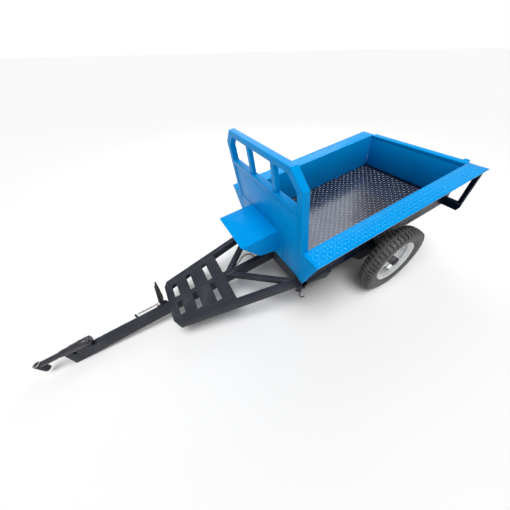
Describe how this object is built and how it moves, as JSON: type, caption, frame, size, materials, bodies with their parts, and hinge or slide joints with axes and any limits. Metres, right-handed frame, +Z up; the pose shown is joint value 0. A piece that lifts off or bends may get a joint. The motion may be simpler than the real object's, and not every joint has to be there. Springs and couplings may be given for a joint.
{
  "type": "tow behind cart",
  "caption": "Tow-behind cart with a tipping steel tray, drop tailgate, headboard with a seat, A-frame with a slotted footplate, brake pedal and a swivelling tow eye on tyred wheels.",
  "frame": {"origin": "on the ground, under the centre of the whole cart's box", "axes": "+X forward to the tow eye, +Y to the cart's left, +Z up; the cart stands uncoupled, nose down on its tow bush"},
  "size_m": [3.0188, 1.144, 1.0616],
  "materials": {
    "blue_paint": "gloss",
    "blue_checker_plate": "gloss",
    "floor_plate": "satin",
    "black_paint": "satin",
    "bare_steel": "satin",
    "wheel_paint": "satin",
    "tyre_rubber": "matte",
    "cable_sheath": "matte"
  },
  "bodies": {
    "chassis": {"drawbar": "black_paint", "hitch_nose": "black_paint", "swivel_sleeve": "black_paint", "side_rails": "black_paint", "footplate": "black_paint", "footplate_front_angle": "black_paint", "braces": "black_paint", "front_cross_member": "black_paint", "frame_cross_members": "black_paint", "longitudinals": "black_paint", "tip_hinge_lugs": "black_paint", "axle_beam": "black_paint", "axle_brackets": "black_paint", "spindles": "bare_steel", "pedal_bracket": "black_paint", "pedal_spring": "bare_steel", "cable_stops": "black_paint", "brake_cable": "cable_sheath", "latch_lugs": "black_paint"},
    "tray": {"tray_floor": "floor_plate", "side_walls": "blue_paint", "side_flanges": "blue_checker_plate", "front_corner_plates": "blue_paint", "tray_rails": "black_paint", "tray_cross_members": "black_paint", "rear_beam": "black_paint", "rear_corner_posts": "black_paint", "tip_bushes": "black_paint", "headboard_posts": "blue_paint", "headboard_top": "blue_paint", "headboard_dividers": "blue_paint", "headboard_ledge": "blue_paint", "front_sheet": "blue_paint", "lower_front_sheet": "blue_paint", "seat_plate": "blue_paint", "seat_sides": "blue_paint", "tailgate_pins": "black_paint"},
    "tailgate": {"tailgate_panel": "blue_paint", "tailgate_rails": "blue_paint", "tailgate_tab": "blue_paint", "tailgate_straps": "blue_paint"},
    "tow_eye": {"swivel_rod": "bare_steel", "swivel_nut": "bare_steel", "tow_bush": "black_paint"},
    "brake_pedal": {"pedal_arm": "black_paint", "pedal_pad": "black_paint"},
    "left_wheel": {"left_tyre": "tyre_rubber", "left_rim": "wheel_paint", "left_hub": "wheel_paint", "left_bearings": "bare_steel", "left_wheel_nuts": "bare_steel", "left_hub_cap": "black_paint"},
    "right_wheel": {"right_tyre": "tyre_rubber", "right_rim": "wheel_paint", "right_hub": "wheel_paint", "right_bearings": "bare_steel", "right_wheel_nuts": "bare_steel", "right_hub_cap": "black_paint"},
    "left_hook": {"left_latch_hook": "bare_steel"},
    "right_hook": {"right_latch_hook": "bare_steel"}
  },
  "joints": [
    {"name": "tow_eye_swivel", "type": "hinge", "parent": "chassis", "child": "tow_eye", "pos_m": [1.22306, 0, 0.14161], "axis": [0.9906, 0, -0.1365], "continuous": true},
    {"name": "left_wheel_spin", "type": "hinge", "parent": "chassis", "child": "left_wheel", "pos_m": [-0.80373, 0.517, 0.2675], "axis": [0, 1, 0], "continuous": true},
    {"name": "right_wheel_spin", "type": "hinge", "parent": "chassis", "child": "right_wheel", "pos_m": [-0.80373, -0.517, 0.2675], "axis": [0, 1, 0], "continuous": true},
    {"name": "tray_tip", "type": "hinge", "parent": "chassis", "child": "tray", "pos_m": [-1.00101, 0, 0.3815], "axis": [0, -1, 0], "range_deg": [0, 35]},
    {"name": "tailgate_drop", "type": "hinge", "parent": "tray", "child": "tailgate", "pos_m": [-1.50191, 0, 0.51918], "axis": [0, -1, 0], "range_deg": [0, 170]},
    {"name": "brake_pedal_press", "type": "hinge", "parent": "chassis", "child": "brake_pedal", "pos_m": [0.77816, -0.0323, 0.19485], "axis": [0, 1, 0], "range_deg": [0, 25], "stiffness_Nm_per_rad": 8, "springref_deg": -20.05},
    {"name": "left_hook_swing", "type": "hinge", "parent": "chassis", "child": "left_hook", "pos_m": [-0.05062, 0.408, 0.26061], "axis": [0, -1, 0], "range_deg": [-50, 90]},
    {"name": "right_hook_swing", "type": "hinge", "parent": "chassis", "child": "right_hook", "pos_m": [-0.05062, -0.408, 0.26061], "axis": [0, -1, 0], "range_deg": [-50, 90]}
  ]
}
